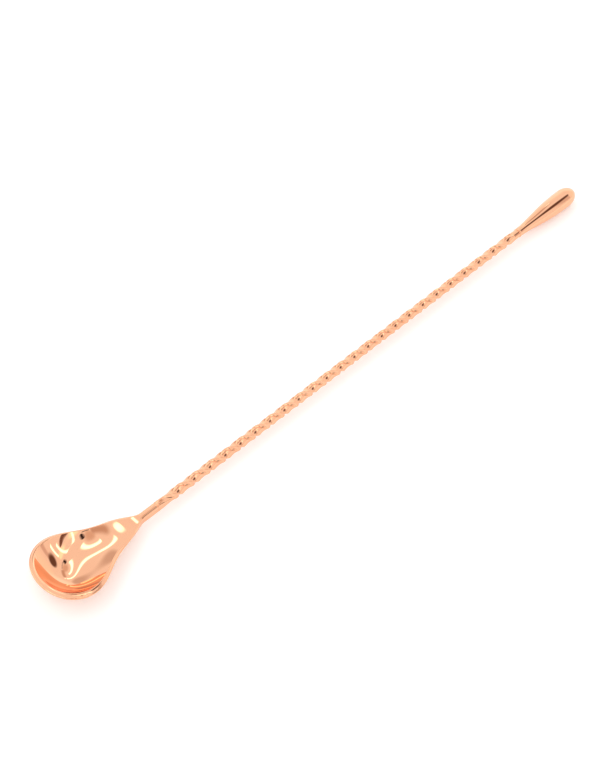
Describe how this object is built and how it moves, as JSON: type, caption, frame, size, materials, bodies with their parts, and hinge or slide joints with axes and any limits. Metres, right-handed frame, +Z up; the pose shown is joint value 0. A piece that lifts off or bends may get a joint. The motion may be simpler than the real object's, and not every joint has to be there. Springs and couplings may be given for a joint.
{
  "type": "bar spoon",
  "caption": "Long mixing spoon: drop-shaped bowl on a slim neck, twisted stem with a right-hand spiral, and a solid drop-shaped weight at the far end.",
  "frame": {"origin": "centre of the bounding box in plan, at the level of the table that the spoon lies on", "axes": "+X along the stem from the tip of the bowl to the end of the weight, +Y across the bowl, +Z up out of the bowl's mouth"},
  "size_m": [0.3, 0.0314, 0.0106],
  "materials": {
    "bowl": "stainless steel with mirror-polished rose-gold plating",
    "stem": "stainless steel with mirror-polished rose-gold plating",
    "weight": "stainless steel with mirror-polished rose-gold plating",
    "weld": "weld dressed nearly flush under the same rose-gold plating"
  },
  "bodies": {
    "root": {"spoon_bowl": "bowl", "neck_weld": "weld", "twisted_stem": "stem", "weight_weld": "weld", "teardrop_weight": "weight"}
  },
  "joints": []
}
